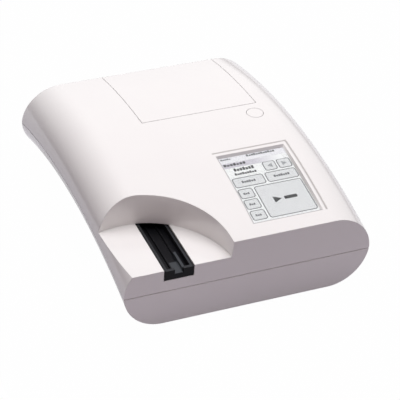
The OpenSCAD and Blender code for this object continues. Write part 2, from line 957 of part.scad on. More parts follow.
module strip_tray() {
    x0 = tray_x - tray_w / 2;
    color(tray_black)
        difference() {
            span([x0, front_y, tray_z], [x0 + tray_w, tray_rear, tray_top]);
            difference() {
                span([x0 + rim_w, front_y + rim_w, trough_z],
                    [x0 + tray_w - rim_w, tray_rear - rim_w, tray_top + cut]);
                span([tray_x - strip_w / 2 - ridge_w, front_y, trough_z - cut],
                    [tray_x - strip_w / 2, front_y + pad_back, trough_z + ridge_h]);
                span([tray_x + strip_w / 2, channel_y0 + rail_l + channel_gap, trough_z - cut],
                    [tray_x + strip_w / 2 + ridge_w, front_y + pad_back, trough_z + ridge_h]);
            }
            // Notch for the strip's handle
            span([tray_x - strip_w / 2, front_y - cut, trough_z],
                [tray_x + strip_w / 2, front_y + 2 * rim_w, tray_top + cut]);
            // Seat of the rack
            span([rack_x - rack_w / 2, rack_y0, tray_z - cut],
                [rack_x + rack_w / 2, rack_y1, rack_top_z]);
        }
}

module strip_channel() {
    left = tray_x - strip_w / 2;
    right = tray_x + strip_w / 2;
    color("#45484d") {
        span([left + channel_gap, channel_y0, trough_z],
            [right + rail_w, channel_y0 + channel_l, trough_z + channel_t]);
        span([left + channel_gap, front_y + tongue_in, trough_z],
            [right - channel_gap, channel_y0 + channel_l, trough_z + channel_t]);
        span([right, channel_y0, trough_z],
            [right + rail_w, channel_y0 + rail_l, trough_z + channel_t + rail_h]);
    }
}

module reference_pad() {
    color("#fafafa")
        span([tray_x - strip_w / 2, front_y + pad_back, trough_z],
            [tray_x + strip_w / 2, front_y + pad_back + pad_l, trough_z + channel_t + pad_proud]);
}

// Rack: teeth point down and one stands over the pinion's axis
rack_first = ceil((rack_y0 - pinion_y) / rack_pitch + 0.5);
rack_last = floor((rack_y1 - pinion_y) / rack_pitch - 0.5);
rack_root_z = rack_pitch_z + tooth_root * rack_module;

module tray_rack() {
    tip_half = rack_module * (tooth_half - tooth_slope * tooth_tip);
    root_half = rack_module * (tooth_half + tooth_slope * tooth_root);
    outline = concat(
        [[rack_y0, rack_root_z]],
        [
            for (i = [rack_first : rack_last], k = [-1.5 : 1 : 1.5])
                let (tip = abs(k) < 1, half = tip ? tip_half : root_half)
                [pinion_y + i * rack_pitch + sign(k) * half, tip ? rack_tip_z : rack_root_z]
        ],
        [[rack_y1, rack_root_z], [rack_y1, rack_top_z], [rack_y0, rack_top_z]]
    );
    color(gear_white)
        prism_x(rack_x - rack_w / 2, rack_x + rack_w / 2, outline);
}

module tray_guide() {
    x0 = tray_x - guide_w / 2;
    color(dark_plastic)
        difference() {
            union() {
                span([x0, guide_y0, guide_under], [x0 + guide_w, guide_y1 + slot_wall_t, guide_top]);
                for (p = guide_screw_places)
                    translate([p.x - guide_ear / 2, p.y - guide_ear / 2, guide_under])
                        cube([guide_ear, guide_ear, slot_floor_t]);
            }
            span([x0 + slot_wall_t, guide_y0 - cut, slot_z],
                [x0 + guide_w - slot_wall_t, guide_y1, guide_top + cut]);
            // Slot for the pinion
            span(
                [rack_x - rack_w / 2 - pinion_slot, guide_y0 - cut, guide_under - cut],
                [rack_x + rack_w / 2 + pinion_slot, pinion_y + pinion_r + 2 * rack_module, slot_z + cut]
            );
            for (p = guide_screw_places)
                translate([p.x, p.y, guide_under - cut])
                    cylinder(r = small_hole_r, h = slot_floor_t + 2 * cut);
        }
}

module guide_screws() {
    color(steel)
        for (p = guide_screw_places)
            translate([p.x, p.y, guide_under])
                small_screw(slot_floor_t, guide_screw_l);
}

// Light barrier at the rear end of the guide
sensor_w = 12;
sensor_l = 6;
sensor_h = 7;
sensor_slot = 3;

module tray_sensor() {
    color("#202124")
        translate([tray_x - sensor_w / 2, guide_y1 + slot_wall_t, guide_top - sensor_h])
            difference() {
                cube([sensor_w, sensor_l, sensor_h]);
                translate([(sensor_w - sensor_slot) / 2, -cut, sensor_h / 2])
                    cube([sensor_slot, sensor_l + 2 * cut, sensor_h]);
            }
}

module tray_motor() {
    color(steel)
        difference() {
            rod_x(tray_motor_d / 2, tray_motor_x, tray_motor_x + tray_motor_l, pinion_y, pinion_z);
            rod_x(shaft_r + bearing_gap, tray_motor_x - cut, tray_motor_x + tray_motor_l * bore_share,
                pinion_y, pinion_z);
        }
}

module tray_motor_shaft() {
    color(steel)
        rod_x(shaft_r, rack_x - rack_w / 2, tray_motor_x + tray_motor_l * shaft_share, pinion_y, pinion_z);
}

module tray_pinion() {
    color(gear_white)
        gear_x(pinion_teeth, rack_module, rack_w, shaft_r + press_gap,
            rack_x - rack_w / 2, pinion_y, pinion_z, 90);
}

// Angle that holds the motor's face and stands on the bottom cover
module motor_bracket() {
    half = tray_motor_d / 2 - 1;
    color(steel)
        difference() {
            union() {
                span([tray_motor_x - bracket_t, pinion_y - half, bracket_z],
                    [tray_motor_x, pinion_y + half, pinion_z + half]);
                span([tray_motor_x - bracket_foot, pinion_y - half, bracket_z],
                    [tray_motor_x, pinion_y + half, bracket_z + bracket_t]);
            }
            rod_x(3 * shaft_r, tray_motor_x - bracket_t - cut, tray_motor_x + cut, pinion_y, pinion_z);
            for (p = bracket_screw_places)
                translate([p.x, p.y, bracket_z - cut])
                    cylinder(r = small_hole_r, h = bracket_t + 2 * cut);
        }
}

module bracket_screws() {
    color(steel)
        for (p = bracket_screw_places)
            translate([p.x, p.y, bracket_z])
                small_screw(bracket_t, floor_screw_l(p.y, bracket_z));
}

// Reading head: a block over the tray with a lens bore between two lamp bores
optics_back = 14;
optics_y = guide_y0 + optics_back;
optics_l = 24;
optics_h = 10;
lens_r = 3;
lens_t = 2;
lens_up = 1;
board_inset = 0.5;
led_r = 1.5;
led_y = 7;
led_h = 5;

module optics_housing() {
    color("#17181a")
        difference() {
            span([tray_x - guide_w / 2, optics_y - optics_l / 2, guide_top],
                [tray_x + guide_w / 2, optics_y + optics_l / 2, guide_top + optics_h]);
            translate([tray_x, optics_y, guide_top - cut])
                cylinder(r = lens_r + press_gap, h = optics_h + 2 * cut);
            for (side = [-1, 1])
                translate([tray_x, optics_y + side * led_y, guide_top - cut])
                    cylinder(r = led_r + press_gap, h = optics_h + 2 * cut);
        }
}

module optics_lens() {
    color("#cfe0ea")
        translate([tray_x, optics_y, guide_top + lens_up])
            cylinder(r = lens_r, h = lens_t);
}

module optics_leds() {
    color("#f4f6ff")
        for (side = [-1, 1])
            translate([tray_x, optics_y + side * led_y, guide_top + optics_h - led_h])
                cylinder(r = led_r, h = led_h);
}

module optics_board() {
    color(board_green)
        translate([tray_x, optics_y, guide_top + optics_h])
            span([board_inset - guide_w / 2, board_inset - optics_l / 2, 0],
                [guide_w / 2 - board_inset, optics_l / 2 - board_inset, board_t]);
}

// Folded steel channel with open slots for the platen shaft
module printer_frame() {
    base_z = well_floor + frame_t;
    color(steel)
        difference() {
            union() {
                span([lid_xm - frame_in - frame_t, frame_y0, well_floor],
                    [lid_xm + frame_in + frame_t, frame_y1, base_z]);
                for (x = [-frame_in - frame_t, frame_in])
                    translate([lid_xm + x, frame_y0, well_floor])
                        cube([frame_t, frame_y1 - frame_y0, frame_top - well_floor]);
            }
            // Open slots that the platen shaft lifts out of
            span([-far, platen_y - 2 * platen_shaft_r, platen_z - platen_shaft_r - shaft_room],
                [far, platen_y + 2 * platen_shaft_r + shaft_room, frame_top + cut]);
            rod_x(head_pin_r + press_gap, -far, far, head_pin_y, head_pin_z);
            rod_x(shaft_r + shaft_room, lid_xm, far, printer_motor_y, printer_motor_z);
            rod_x(shaft_r + press_gap, lid_xm, far, platen_y, idler_z);
        }
}

module print_head() {
    color("#8a8f96")
        difference() {
            union() {
                span([lid_xm - paper_w / 2, platen_y - head_l / 2, head_z],
                    [lid_xm + paper_w / 2, platen_y + head_l / 2, head_z + head_t]);
                for (side = [-1, 1])
                    translate([lid_xm + side * head_lug_x, head_pin_y, head_pin_z])
                        span([-head_lug, -head_lug, -head_lug], [head_lug, head_lug, head_z - head_pin_z]);
            }
            rod_x(head_pin_r + bearing_gap, -far, far, head_pin_y, head_pin_z);
        }
}

module head_pin() {
    color(steel)
        rod_x(head_pin_r, lid_xm - frame_in - frame_t, lid_xm + frame_in + frame_t, head_pin_y, head_pin_z);
}

// Leaf that presses the front of the head up against the platen
module head_spring() {
    seat_y = frame_y0 + frame_t;
    tip_y = platen_y - head_l / 2 + leaf_tip;
    knee_z = (well_floor + frame_t + head_z) / 2;
    color(steel)
        prism_x(lid_xm - paper_w / 2 + leaf_inset, lid_xm - leaf_inset, [
            [seat_y, well_floor + frame_t],
            [seat_y + leaf_t, well_floor + frame_t],
            [seat_y + leaf_t, knee_z],
            [tip_y, head_z - leaf_t],
            [tip_y + leaf_tip, head_z - leaf_t],
            [tip_y + leaf_tip, head_z],
            [tip_y - leaf_t, head_z],
            [seat_y, knee_z + leaf_t]
        ]);
}

module platen_shaft() {
    color(steel)
        rod_x(platen_shaft_r, lid_xm - arm_in - arm_t, lid_xm + gear_in + gear_w, platen_y, platen_z);
}

module platen_roller() {
    color("#2b2b2d")
        difference() {
            rod_x(platen_r, lid_xm - paper_w / 2, lid_xm + paper_w / 2, platen_y, platen_z);
            rod_x(platen_shaft_r + press_gap, lid_xm - paper_w, lid_xm + paper_w, platen_y, platen_z);
        }
}

// The platen gear shows a tooth to the gap on top of the idler
module platen_gear() {
    color(gear_white)
        gear_x(platen_teeth, gear_module, gear_w, platen_shaft_r + press_gap,
            lid_xm + gear_in, platen_y, platen_z, 270 + 180 / platen_teeth);
}

module platen_bushings() {
    color("#c9a24a")
        for (x = arm_places)
            translate([x, platen_y, platen_z])
                rotate([0, 90, 0])
                    difference() {
                        cylinder(r = bushing_r, h = arm_t);
                        translate([0, 0, -cut])
                            cylinder(r = platen_shaft_r + bearing_gap, h = arm_t + 2 * cut);
                    }
}

module idler_gear() {
    color(gear_white)
        gear_x(idler_teeth, gear_module, gear_w, shaft_r + bearing_gap,
            lid_xm + gear_in, platen_y, idler_z, 90);
}

module idler_pin() {
    color(steel)
        rod_x(shaft_r, lid_xm + frame_in, lid_xm + gear_in + gear_w + pin_end, platen_y, idler_z);
}

module printer_motor() {
    x1 = lid_xm + frame_in;
    color(steel)
        difference() {
            rod_x(printer_motor_d / 2, x1 - printer_motor_l, x1, printer_motor_y, printer_motor_z);
            rod_x(shaft_r + bearing_gap, x1 - printer_motor_l * bore_share, x1 + cut,
                printer_motor_y, printer_motor_z);
        }
}

module printer_motor_shaft() {
    color(steel)
        rod_x(shaft_r, lid_xm + frame_in - printer_motor_l * shaft_share, lid_xm + gear_in + gear_w,
            printer_motor_y, printer_motor_z);
}

module printer_pinion() {
    color(gear_white)
        gear_x(printer_pinion_teeth, gear_module, gear_w, shaft_r + press_gap, lid_xm + gear_in,
            printer_motor_y, printer_motor_z, printer_motor_a + 180 + 180 / printer_pinion_teeth);
}

module paper_well() {
    x0 = lid_xm - well_in - well_t;
    x1 = lid_xm + well_in + well_t;
    color("#d8d8d6")
        difference() {
            union() {
                span([x0, well_y0, well_z], [x1, well_y1, well_floor]);
                for (y = [well_mid, well_y1 - well_t])
                    span([x0, y, well_z], [x1, y + well_t, roll_z]);
                for (x = [x0, x1 - well_t])
                    span([x, well_mid, well_z], [x + well_t, well_y1, well_wall_top]);
                for (p = well_screw_places)
                    translate([p.x - well_ear / 2, p.y - well_ear / 2, well_z])
                        cube([well_ear, well_ear, well_t]);
            }
            // Open seats for the spindle
            rod_x(spindle_r + spindle_gap, x0 - cut, x1 + cut, roll_y, roll_z);
            span([x0 - cut, roll_y - spindle_r - spindle_gap, roll_z],
                [x1 + cut, roll_y + spindle_r + spindle_gap, well_wall_top + cut]);
            for (p = well_screw_places)
                translate([p.x, p.y, well_z - cut])
                    cylinder(r = small_hole_r, h = well_t + 2 * cut);
        }
}

module well_screws() {
    color(steel)
        for (p = well_screw_places)
            translate([p.x, p.y, well_z])
                small_screw(well_t, floor_screw_l(p.y, well_z));
}

module paper_spindle() {
    color("#7d8288")
        union() {
            rod_x(spindle_r, lid_xm - well_in - well_t, lid_xm + well_in + well_t, roll_y, roll_z);
            rod_x(core_r - press_gap, lid_xm - paper_w / 2, lid_xm + paper_w / 2, roll_y, roll_z);
        }
}

module paper_roll() {
    color("#f7f5ee")
        difference() {
            rod_x(roll_r, lid_xm - paper_w / 2, lid_xm + paper_w / 2, roll_y, roll_z);
            rod_x(core_r, lid_xm - paper_w, lid_xm + paper_w, roll_y, roll_z);
        }
}

// Board with holes at places that are given in the part's frame
module board(x, y, z, w, l, places) {
    color(board_green)
        difference() {
            translate([x, y, z])
                cube([w, l, board_t]);
            for (p = places)
                translate([p.x, p.y, z - cut])
                    cylinder(r = small_hole_r, h = board_t + 2 * cut);
        }
}

module main_board() {
    board(main_board_x, main_board_y, main_board_z, main_board_w, main_board_l, main_screw_places);
}

processor_w = 14;
processor_t = 1.4;
buzzer_r = 6;
buzzer_h = 5;
buzzer_hole_r = 1;

module processor() {
    color("#222326")
        translate([main_board_x + 2 * board_hole, main_board_y + 2 * board_hole, main_board_top])
            cube([processor_w, processor_w, processor_t]);
}

module buzzer() {
    color("#1c1c1e")
        translate([main_board_x + 2 * buzzer_r, main_board_y + main_board_l - 3 * buzzer_r, main_board_top])
            difference() {
                cylinder(r = buzzer_r, h = buzzer_h);
                translate([0, 0, buzzer_h / 2])
                    cylinder(r = buzzer_hole_r, h = buzzer_h);
            }
}

// Ribbon headers: one under the display, one at the board's rear edge
rear_cable_x = main_board_x + board_hole + small_head_r + 0.5 + header_w / 2;

module board_headers() {
    color("#e9e4d4") {
        translate([window_x - header_w / 2, cable_y + cable_t / 2 - header_l / 2, main_board_top])
            cube([header_w, header_l, header_h]);
        translate([rear_cable_x - header_w / 2, main_board_y + main_board_l - header_l, main_board_top])
            cube([header_w, header_l, header_h]);
        translate([rear_cable_x - header_w / 2, rear_board_y, rear_board_top])
            cube([header_w, header_l, header_h]);
    }
}

module board_screws() {
    color(steel) {
        for (p = main_screw_places)
            translate([p.x, p.y, main_board_z])
                small_screw(board_t, floor_screw_l(p.y, main_board_z));
        for (p = rear_screw_places)
            translate([p.x, p.y, rear_board_z])
                small_screw(board_t, floor_screw_l(p.y, rear_board_z));
    }
}

module rear_board() {
    board(rear_board_x, rear_board_y, rear_board_z, rear_board_w, rear_board_l, rear_screw_places);
}

// Socket body on the rear board, its mouth in the rear wall
module socket(x, w, h) {
    span([x - w / 2, socket_front, rear_board_top], [x + w / 2, socket_rear, rear_board_top + h]);
}

// Flat socket: a shell with a contact tongue in its mouth
module usb_socket(x, w, h) {
    tongue_half = w / 2 - socket_shell - tongue_side;
    tongue_z = rear_board_top + h * tongue_up;
    difference() {
        socket(x, w, h);
        difference() {
            span([x - w / 2 + socket_shell, socket_rear - socket_depth, rear_board_top + socket_shell],
                [x + w / 2 - socket_shell, socket_rear + cut, rear_board_top + h - socket_shell]);
            span([x - tongue_half, socket_front, tongue_z],
                [x + tongue_half, socket_rear - tongue_back, tongue_z + h * tongue_thin]);
        }
    }
}

module dc_inlet() {
    color("#141416")
        difference() {
            socket(dc_x, dc_w, dc_h);
            translate([dc_x, socket_rear - socket_depth, rear_board_top + dc_h / 2])
                rotate([-90, 0, 0])
                    difference() {
                        cylinder(r = dc_mouth_r, h = socket_depth + cut);
                        translate([0, 0, -cut])
                            cylinder(r = dc_pin_r, h = socket_depth + cut - tongue_back);
                    }
        }
}

module usb_device_socket() {
    color(steel)
        usb_socket(usb_device_x, usb_device_w, usb_device_h);
}

module usb_host_socket() {
    color(steel)
        usb_socket(usb_host_x, usb_host_w, usb_host_h);
}

// Flat ribbon from the main board's rear header, under the paper well, to the rear board
cable_bend = 1;
cable_drop = 6;
cable_under = 1.6;

module rear_cable() {
    y0 = main_board_y + main_board_l;
    y1 = well_y0 - cable_bend;
    y2 = rear_board_y - cable_drop;
    lead = (y1 - y0) / 3;
    high = main_board_top + header_h / 3;
    low = well_z - cable_under;
    rear = rear_board_top + header_h / 3;
    color("#a9adb3")
        prism_x(rear_cable_x - cable_w / 2, rear_cable_x + cable_w / 2, [
            [y0, high],
            [y0 + lead, high],
            [y1, low],
            [y2, low],
            [rear_board_y, rear],
            [rear_board_y, rear + cable_t],
            [y2 + cable_t, low + cable_t],
            [y1 + cable_t, low + cable_t],
            [y0 + lead + cable_t, high + cable_t],
            [y0, high + cable_t]
        ]);
}

module cover_screws() {
    color(steel)
        for (p = case_boss_places)
            translate([p.x, p.y, case_seat(p.y)])
                mirror([0, 0, 1])
                    screw(case_screw_r, case_screw_l, case_head_r, case_head_h);
}

module rubber_feet() {
    color("#2c2d2f")
        for (p = foot_places)
            translate([p.x, p.y, 0])
                cylinder(r = foot_r, h = foot_h);
}

top_cover();
bottom_cover();
printer_lid();
lid_hinge_pin();
power_button();
button_board();
button_switch();
switch_plunger();
touch_panel();
display_gasket();
lcd_panel();
display_bracket();
display_screws();
display_cable();
strip_tray();
strip_channel();
reference_pad();
tray_rack();
tray_guide();
guide_screws();
tray_sensor();
tray_motor();
tray_motor_shaft();
tray_pinion();
motor_bracket();
bracket_screws();
optics_housing();
optics_lens();
optics_leds();
optics_board();
printer_frame();
print_head();
head_pin();
head_spring();
platen_shaft();
platen_roller();
platen_gear();
platen_bushings();
idler_gear();
idler_pin();
printer_motor();
printer_motor_shaft();
printer_pinion();
paper_well();
well_screws();
paper_spindle();
paper_roll();
main_board();
processor();
buzzer();
board_headers();
board_screws();
rear_board();
dc_inlet();
usb_device_socket();
usb_host_socket();
rear_cable();
cover_screws();
rubber_feet();
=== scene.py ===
"""Looks of a benchtop strip reader.

An arched white case holds a strip drawer, a touch display and a printer under a lid.
"""

import json
import math

import bmesh
import bpy
from mathutils import Matrix, Vector
from mathutils.bvhtree import BVHTree


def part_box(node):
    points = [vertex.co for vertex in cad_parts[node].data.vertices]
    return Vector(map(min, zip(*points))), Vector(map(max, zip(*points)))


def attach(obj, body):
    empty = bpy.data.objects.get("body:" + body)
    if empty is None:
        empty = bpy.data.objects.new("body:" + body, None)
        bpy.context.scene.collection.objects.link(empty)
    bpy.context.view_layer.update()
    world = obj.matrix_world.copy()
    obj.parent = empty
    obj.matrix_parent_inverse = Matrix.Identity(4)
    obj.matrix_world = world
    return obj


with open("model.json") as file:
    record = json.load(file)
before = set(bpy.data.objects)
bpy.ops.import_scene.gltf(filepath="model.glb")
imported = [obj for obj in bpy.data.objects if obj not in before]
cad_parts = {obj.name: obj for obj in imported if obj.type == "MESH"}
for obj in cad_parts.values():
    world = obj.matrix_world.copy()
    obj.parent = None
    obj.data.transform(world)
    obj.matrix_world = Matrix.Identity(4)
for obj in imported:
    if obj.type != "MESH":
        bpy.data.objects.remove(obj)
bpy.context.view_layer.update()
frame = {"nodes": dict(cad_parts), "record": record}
nodes = frame["nodes"]
scene = bpy.context.scene
MM = 0.001


def srgb(code):
    """Linear colour of an sRGB hex value."""
    parts = [int(code[i:i + 2], 16) / 255 for i in (1, 3, 5)]
    return [p / 12.92 if p <= 0.04045 else ((p + 0.055) / 1.055) ** 2.4 for p in parts] + [1.0]


def add(tree, kind, sockets=None, **settings):
    """Adds a node, sets its options, and fills or links its sockets."""
    node = tree.nodes.new("ShaderNode" + kind)
    for name, value in settings.items():
        setattr(node, name, value)
    for name, value in (sockets or {}).items():
        if isinstance(value, bpy.types.NodeSocket):
            tree.links.new(value, node.inputs[name])
        else:
            node.inputs[name].default_value = value
    return node


def start(name):
    """Starts a material and gives its node tree and the place on the object, in metres."""
    material = bpy.data.materials.new(name)
    material.use_nodes = True
    tree = material.node_tree
    tree.nodes.clear()
    return material, tree, add(tree, "TexCoord").outputs["Object"]


# Camera: fitted to the outlines of the case in the photograph
PHOTO_SIDE = 400
FOCAL_PIXELS = 1765.1
SENSOR_MM = 36.0
CAMERA_NEAR = 50 * MM
CAMERA_PLACE = Vector((-353.983, -778.691, 638.312)) * MM
CAMERA_AZIMUTH = math.radians(24.984)
CAMERA_ELEVATION = math.radians(36.2356)
CAMERA_ROLL = math.radians(4.2149)


def make_camera():
    """Sets up the camera at its place, turned by its azimuth, elevation and roll."""
    data = bpy.data.cameras.new("camera")
    data.sensor_fit = "HORIZONTAL"
    data.sensor_width = SENSOR_MM
    data.lens = FOCAL_PIXELS / PHOTO_SIDE * SENSOR_MM
    data.clip_start = CAMERA_NEAR
    camera = bpy.data.objects.new("camera", data)
    back = Vector((
        -math.sin(CAMERA_AZIMUTH) * math.cos(CAMERA_ELEVATION),
        -math.cos(CAMERA_AZIMUTH) * math.cos(CAMERA_ELEVATION),
        math.sin(CAMERA_ELEVATION),
    ))
    right = Vector((0, 0, 1)).cross(back).normalized()
    up = back.cross(right)
    turn = Matrix((right, up, back)).transposed() @ Matrix.Rotation(CAMERA_ROLL, 3, "Z")
    camera.matrix_world = Matrix.Translation(CAMERA_PLACE) @ turn.to_4x4()
    scene.collection.objects.link(camera)
    scene.camera = camera


# Stage: a white sheet to stand on, a soft lamp above, a weak fill from the front left, a dim room
LAMPS = {
    "soft_lamp": {"place": (0.15, 0.35, 1.90), "side": 1.8, "watts": 43.5, "colour": "#fffdff"},
    "fill_lamp": {"place": (-1.30, -2.30, 0.30), "side": 1.2, "watts": 9.6, "colour": "#ffebed"},
}
WHITE = srgb("#ffffff")
ROOM_COLOUR = srgb("#fff3fc")
ROOM_LIGHT = 0.11
# Gloss sees the room turn white from the left to the right and from the floor up: each pair is
# where the direction's x or z is still dim and where it is white
ROOM_ACROSS = (-0.75, 0.1)
ROOM_UP = (-0.1, 0.1)
SHEET_LOW = (-0.15, -0.26)
SHEET_HIGH = (0.36, 0.40)
SHEET_DROP = 0.1 * MM
SHEET_COLOUR = srgb("#a6a1ae")
# Share of plain white that the camera sees in the sheet, and how much of that gloss sees
SHEET_WHITE = 0.99
SHEET_GLOSS = 0.65


def make_lamps():
    """Hangs the square lamps, each turned to the ground under the middle of the case."""
    for name, values in LAMPS.items():
        lamp = bpy.data.lights.new(name, "AREA")
        lamp.shape = "SQUARE"
        lamp.size = values["side"]
        lamp.energy = values["watts"]
        lamp.color = srgb(values["colour"])[:3]
        holder = bpy.data.objects.new(name, lamp)
        place = Vector(values["place"])
        turn = place.to_track_quat("Z", "Y").to_matrix().to_4x4()
        holder.matrix_world = Matrix.Translation(place) @ turn
        # Gloss and glass show the room, not the lamps
        holder.visible_glossy = False
        holder.visible_transmission = False
        scene.collection.objects.link(holder)


def white_share(tree, *gloss_parts):
    """How white a ray finds the ground: fully from the camera or through glass, less in gloss."""
    ray = add(tree, "LightPath").outputs
    gloss = ray["Is Glossy Ray"]
    for part in gloss_parts:
        gloss = add(tree, "Math", {0: gloss, 1: part}, operation="MULTIPLY").outputs[0]
    direct = add(tree, "Math", {
        0: ray["Is Camera Ray"], 1: ray["Is Transmission Ray"],
    }, operation="MAXIMUM")
    return add(tree, "Math", {0: direct.outputs[0], 1: gloss}, operation="MAXIMUM").outputs[0]


def make_room():
    """A world that lights dimly from all around and is a white ground to the camera."""
    world = bpy.data.worlds.new("room")
    scene.world = world
    world.use_nodes = True
    tree = world.node_tree
    tree.nodes.clear()
    way = add(tree, "SeparateXYZ", {0: add(tree, "TexCoord").outputs["Generated"]}).outputs
    across, up = (
        add(tree, "MapRange", {"Value": way[axis], "From Min": dim, "From Max": full}).outputs[0]
        for axis, (dim, full) in (("X", ROOM_ACROSS), ("Z", ROOM_UP))
    )
    seen = white_share(tree, across, up)
    room = add(tree, "Background", {"Color": ROOM_COLOUR, "Strength": ROOM_LIGHT})
    white = add(tree, "Background", {"Color": WHITE, "Strength": 1})
    mixed = add(tree, "MixShader", {0: seen, 1: room.outputs[0], 2: white.outputs[0]})
    add(tree, "OutputWorld", {"Surface": mixed.outputs[0]})


def make_sheet():
    """A white card under the case, clear from below so that the underside can be looked at."""
    mesh = bpy.data.meshes.new("sheet")
    (x0, y0), (x1, y1) = SHEET_LOW, SHEET_HIGH
    mesh.from_pydata([(x0, y0, 0), (x1, y0, 0), (x1, y1, 0), (x0, y1, 0)], [], [(0, 1, 2, 3)])
    sheet = bpy.data.objects.new("sheet", mesh)
    sheet.location.z = -SHEET_DROP
    scene.collection.objects.link(sheet)
    material, tree, _ = start("white_card")
    paper = add(tree, "BsdfDiffuse", {"Color": SHEET_COLOUR})
    white = add(tree, "Emission", {"Color": WHITE, "Strength": 1})
    # The camera sees mostly the white ground, with the case's shadow kept faint in it
    seen = white_share(tree, SHEET_GLOSS)
    share = add(tree, "Math", {0: seen, 1: SHEET_WHITE}, operation="MULTIPLY")
    mixed = add(tree, "MixShader", {0: share.outputs[0], 1: paper.outputs[0], 2: white.outputs[0]})
    under = add(tree, "NewGeometry").outputs["Backfacing"]
    nothing = add(tree, "BsdfTransparent")
    sides = add(tree, "MixShader", {0: under, 1: mixed.outputs[0], 2: nothing.outputs[0]})
    add(tree, "OutputMaterial", {"Surface": sides.outputs[0]})
    mesh.materials.append(material)


# Finishes: all sizes in mm
CLOUD_SIZE = 30
TRACK_PITCH = 2.5
RING_PITCH = 0.5
FIBRE_SIZE = 0.6
DOT_PITCH = 0.18
# Painted sheen: a lighter colour on the drawer's rim tops stands in for their reflection. It fades
# over this depth below a rim, and between these two distances from its outer edge
SHEEN_DEPTH = 0.2
SHEEN_MARGIN = (0.8, 0.5)
# A tool line is this many times as long as it is wide
LINE_STRETCH = 40
# Shares of the roughness at the least and the most of a pattern
GRAIN_GLOSS = (0.8, 1.2)
LINE_GLOSS = (0.75, 1.35)
SMEAR_GLOSS = (0.5, 1.5)
# One wave of the wave texture, at a scale of 1
WAVE = math.pi / 10
# Sockets of a colour mix: its share, its two colours and its result
SHARE, FIRST, SECOND, MIXED = 0, 6, 7, 2


def painted_sheen_share(tree, place, node):
    """Share of painted sheen on a node, a lighter colour in place of a reflection: full on its
    upper rim faces, none at their outer edges and below.
    """
    low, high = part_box(node)
    spot = add(tree, "SeparateXYZ", {0: place}).outputs
    top = add(tree, "MapRange", {
        "Value": spot[2], "From Min": high[2] - SHEEN_DEPTH * MM, "From Max": high[2],
    })
    aside = add(tree, "Math", {0: spot[0], 1: (low[0] + high[0]) / 2}, operation="SUBTRACT")
    away = add(tree, "Math", {0: aside.outputs[0]}, operation="ABSOLUTE")
    half = (high[0] - low[0]) / 2
    full, none = (half - margin * MM for margin in SHEEN_MARGIN)
    inner = add(tree, "MapRange", {
        "Value": away.outputs[0], "From Min": full, "From Max": none, "To Min": 1.0, "To Max": 0.0,
    })
    both = add(tree, "Math", {0: top.outputs[0], 1: inner.outputs[0]}, operation="MULTIPLY")
    return both.outputs[0]


def moulded(
    name, colour, shade, roughness, grain, depth, edge=0.0, coat=0.0, ior=1.53, painted_rim_sheen=None,
):
    """Moulded plastic or rubber: the tool leaves a grain, the colour clouds, and edges are broken.

    The upper rim faces of a node, named with their colour, can get a painted sheen: a lighter
    colour in place of a reflection.
    """
    material, tree, place = start(name)
    clouds = add(tree, "TexNoise", {"Vector": place, "Scale": 1 / (CLOUD_SIZE * MM), "Detail": 3})
    grains = add(tree, "TexNoise", {"Vector": place, "Scale": 1 / (grain * MM), "Detail": 2})
    tint = add(tree, "Mix", {
        SHARE: clouds.outputs[0], FIRST: srgb(colour), SECOND: srgb(shade),
    }, data_type="RGBA")
    # Painted sheen: the upper rim faces take a lighter colour in place of a reflection
    if painted_rim_sheen:
        node, light = painted_rim_sheen
        tint = add(tree, "Mix", {
            SHARE: painted_sheen_share(tree, place, node), FIRST: tint.outputs[MIXED], SECOND: srgb(light),
        }, data_type="RGBA")
    smooth, rough = (roughness * share for share in GRAIN_GLOSS)
    gloss = add(tree, "MapRange", {"Value": grains.outputs[0], "To Min": smooth, "To Max": rough})
    bump = add(tree, "Bump", {
        "Strength": 0.5, "Distance": depth * MM, "Height": grains.outputs[0],
    })
    if edge:
        broken = add(tree, "Bevel", {"Radius": edge * MM}, samples=4)
        tree.links.new(broken.outputs[0], bump.inputs["Normal"])
    shader = add(tree, "BsdfPrincipled", {
        "Base Color": tint.outputs[MIXED], "Roughness": gloss.outputs[0], "IOR": ior,
        "Normal": bump.outputs[0], "Coat Weight": coat, "Coat Roughness": 0.1, "Coat IOR": 1.5,
    })
    add(tree, "OutputMaterial", {"Surface": shader.outputs[0]})
    return material


def metal(name, colour, roughness, line, along):
    """Bare metal with fine tool lines that run along one axis of the object."""
    material, tree, place = start(name)
    stretch = [1 / (line * MM)] * 3
    stretch["XYZ".index(along)] = 1 / (LINE_STRETCH * line * MM)
    lines = add(tree, "Mapping", {"Vector": place, "Scale": stretch})
    brushed = add(tree, "TexNoise", {"Vector": lines.outputs[0], "Scale": 1, "Detail": 3})
    smooth, rough = (roughness * share for share in LINE_GLOSS)
    gloss = add(tree, "MapRange", {"Value": brushed.outputs[0], "To Min": smooth, "To Max": rough})
    bump = add(tree, "Bump", {
        "Strength": 0.25, "Distance": 0.02 * MM, "Height": brushed.outputs[0],
    })
    shader = add(tree, "BsdfPrincipled", {
        "Base Color": srgb(colour), "Metallic": 1.0, "Roughness": gloss.outputs[0],
        "Normal": bump.outputs[0],
    })
    add(tree, "OutputMaterial", {"Surface": shader.outputs[0]})
    return material


def clear(name, colour, roughness, ior, smear):
    """Glass or clear resin with the faint smears that handling leaves."""
    material, tree, place = start(name)
    smears = add(tree, "TexNoise", {"Vector": place, "Scale": 1 / (smear * MM), "Detail": 4})
    smooth, rough = (roughness * share for share in SMEAR_GLOSS)
    gloss = add(tree, "MapRange", {"Value": smears.outputs[0], "To Min": smooth, "To Max": rough})
    shader = add(tree, "BsdfPrincipled", {
        "Base Color": srgb(colour), "Roughness": gloss.outputs[0], "IOR": ior,
        "Transmission Weight": 1.0,
    })
    add(tree, "OutputMaterial", {"Surface": shader.outputs[0]})
    return material


